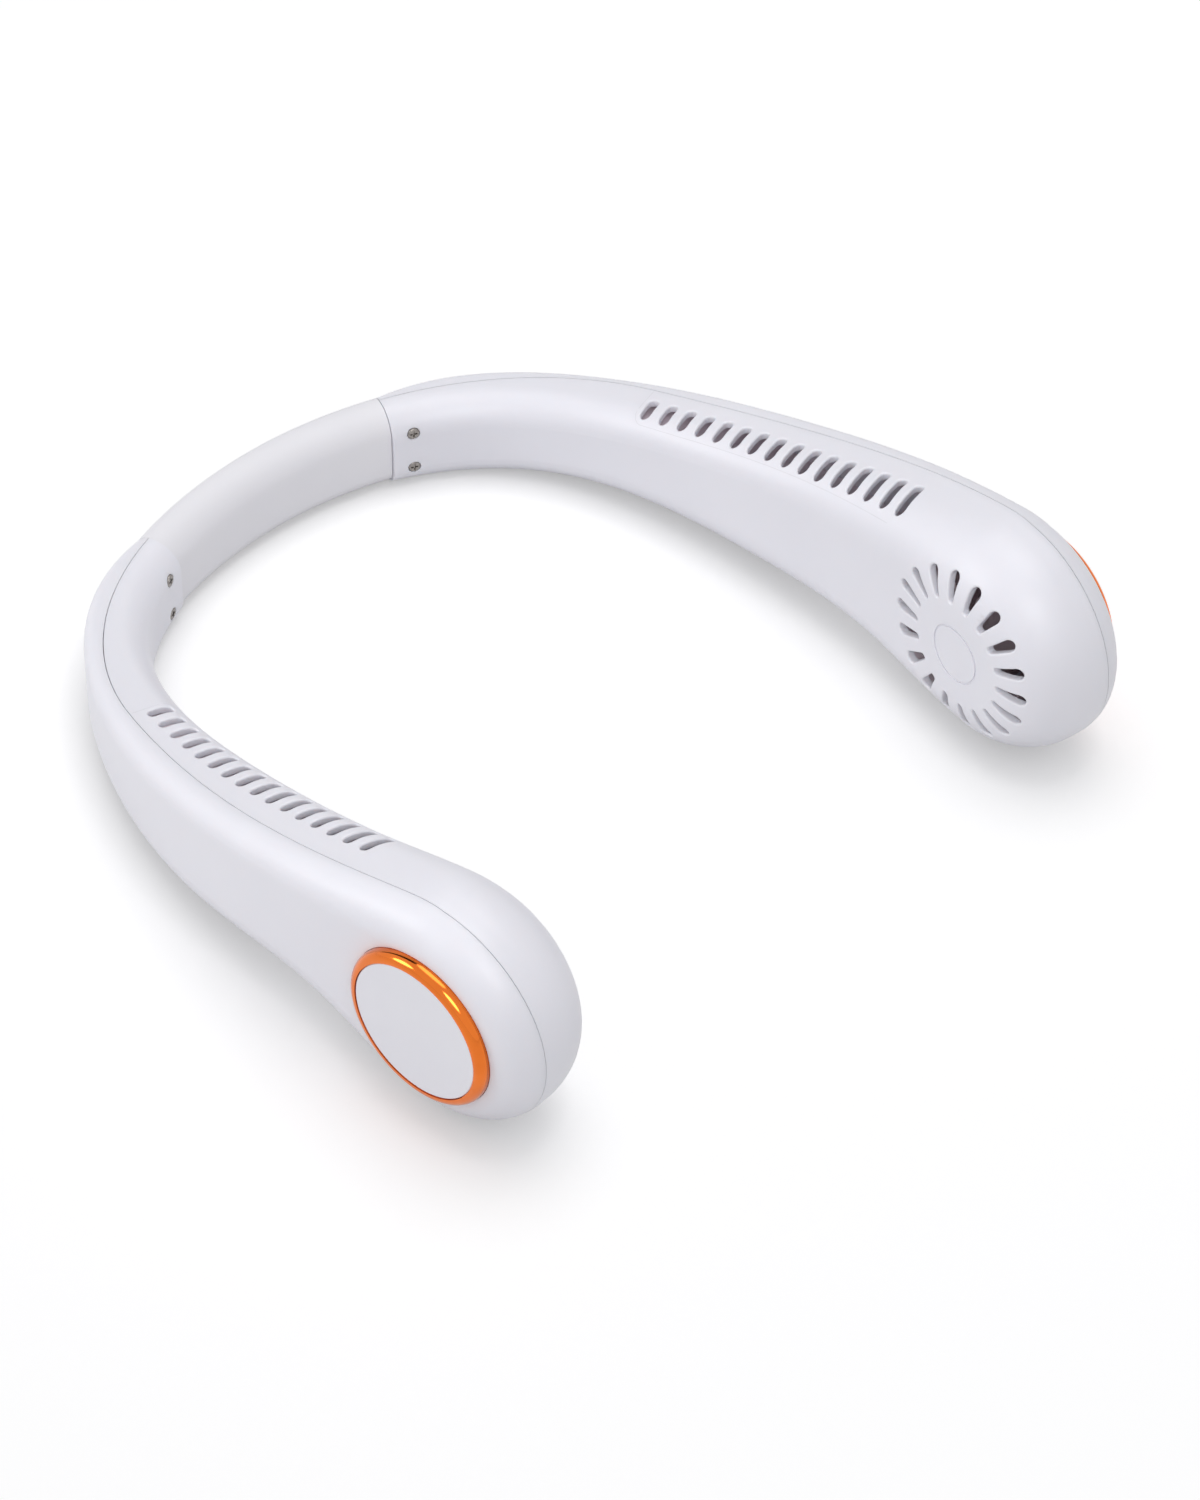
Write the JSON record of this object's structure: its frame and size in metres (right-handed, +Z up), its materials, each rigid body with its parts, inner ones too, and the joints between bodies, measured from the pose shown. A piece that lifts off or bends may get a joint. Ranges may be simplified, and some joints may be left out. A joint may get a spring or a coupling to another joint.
{
  "type": "neck fan",
  "caption": "Electric neck fan: a soft bending band joins two hollow tapering arms with air slots on top, each ending in a round fan housing with an intake grille and a ringed cap.",
  "frame": {"origin": "on the resting plane, under the middle of the box round the whole object", "axes": "+Z up as it lies on a table, the mirror plane is X = 0, the arms point towards -Y (the way the wearer faces) and the band is at +Y; the left arm is at +X"},
  "size_m": [0.1872, 0.187, 0.0534],
  "materials": {
    "soft_band": "matte soft silicone, warm white",
    "shell": "fine satin moulded plastic, cool white",
    "cap": "satin moulded plastic, white",
    "trim": "plated and tinted, glossy orange",
    "screw": "nickel plated",
    "spring_steel": "rolled spring steel",
    "cable": "smooth jacket",
    "frame_plastic": "dark moulded plastic",
    "impeller": "dark moulded plastic",
    "bronze": "sintered bronze",
    "winding": "enamelled winding on laminated core",
    "motor_steel": "drawn steel",
    "magnet": "bonded ferrite",
    "cell": "shrink sleeve over metal can",
    "board": "solder mask",
    "socket": "stamped steel",
    "switch": "moulded",
    "light": "clear light pipe",
    "button": "satin moulded plastic"
  },
  "bodies": {
    "band": {"band_sleeve": "soft_band", "band_spring": "spring_steel", "band_cable": "cable"},
    "left_arm": {"left_inner_shell": "shell", "left_outer_shell": "shell", "left_trim_ring": "trim", "left_outer_cap": "cap", "left_band_anchor": "frame_plastic", "left_band_screws": "screw", "left_volute_wall": "frame_plastic", "left_air_guide": "frame_plastic", "left_motor_base": "frame_plastic", "left_sleeve_bearing": "bronze", "left_stator": "winding", "left_motor_screws": "screw", "left_battery_cell": "cell", "left_lead": "cable"},
    "left_fan": {"left_impeller": "impeller", "left_rotor_can": "motor_steel", "left_magnet_ring": "magnet", "left_fan_shaft": "motor_steel"},
    "right_arm": {"right_inner_shell": "shell", "right_outer_shell": "shell", "right_trim_ring": "trim", "right_outer_cap": "cap", "right_band_anchor": "frame_plastic", "right_band_screws": "screw", "right_volute_wall": "frame_plastic", "right_air_guide": "frame_plastic", "right_motor_base": "frame_plastic", "right_sleeve_bearing": "bronze", "right_stator": "winding", "right_motor_screws": "screw", "right_battery_cell": "cell", "right_lead": "cable", "right_circuit_board": "board", "right_charging_socket": "socket", "right_key_switch": "switch", "right_light_pipe": "light"},
    "right_fan": {"right_impeller": "impeller", "right_rotor_can": "motor_steel", "right_magnet_ring": "magnet", "right_fan_shaft": "motor_steel"},
    "button": {"power_button": "button"}
  },
  "joints": [
    {"name": "left_arm_flex", "type": "hinge", "parent": "band", "child": "left_arm", "pos_m": [0.01665, 0.08717, 0.01], "axis": [0, 0, 1], "range_deg": [-8, 15], "stiffness_Nm_per_rad": 2, "deforming": ["band_sleeve", "band_spring", "band_cable"]},
    {"name": "right_arm_flex", "type": "hinge", "parent": "band", "child": "right_arm", "pos_m": [-0.01665, 0.08717, 0.01], "axis": [0, 0, -1], "range_deg": [-8, 15], "stiffness_Nm_per_rad": 2, "deforming": ["band_sleeve", "band_spring", "band_cable"]},
    {"name": "left_fan_spin", "type": "hinge", "parent": "left_arm", "child": "left_fan", "pos_m": [0.08237, -0.06701, 0.0265], "axis": [0.996, -0.0889, 0], "continuous": true},
    {"name": "right_fan_spin", "type": "hinge", "parent": "right_arm", "child": "right_fan", "pos_m": [-0.08237, -0.06701, 0.0265], "axis": [0.996, 0.0889, 0], "continuous": true},
    {"name": "power_button_press", "type": "slide", "parent": "right_arm", "child": "button", "axis": [0, 0, 1], "range_m": [0, 0.0006], "stiffness_N_per_m": 300, "springref_m": -0.001}
  ]
}
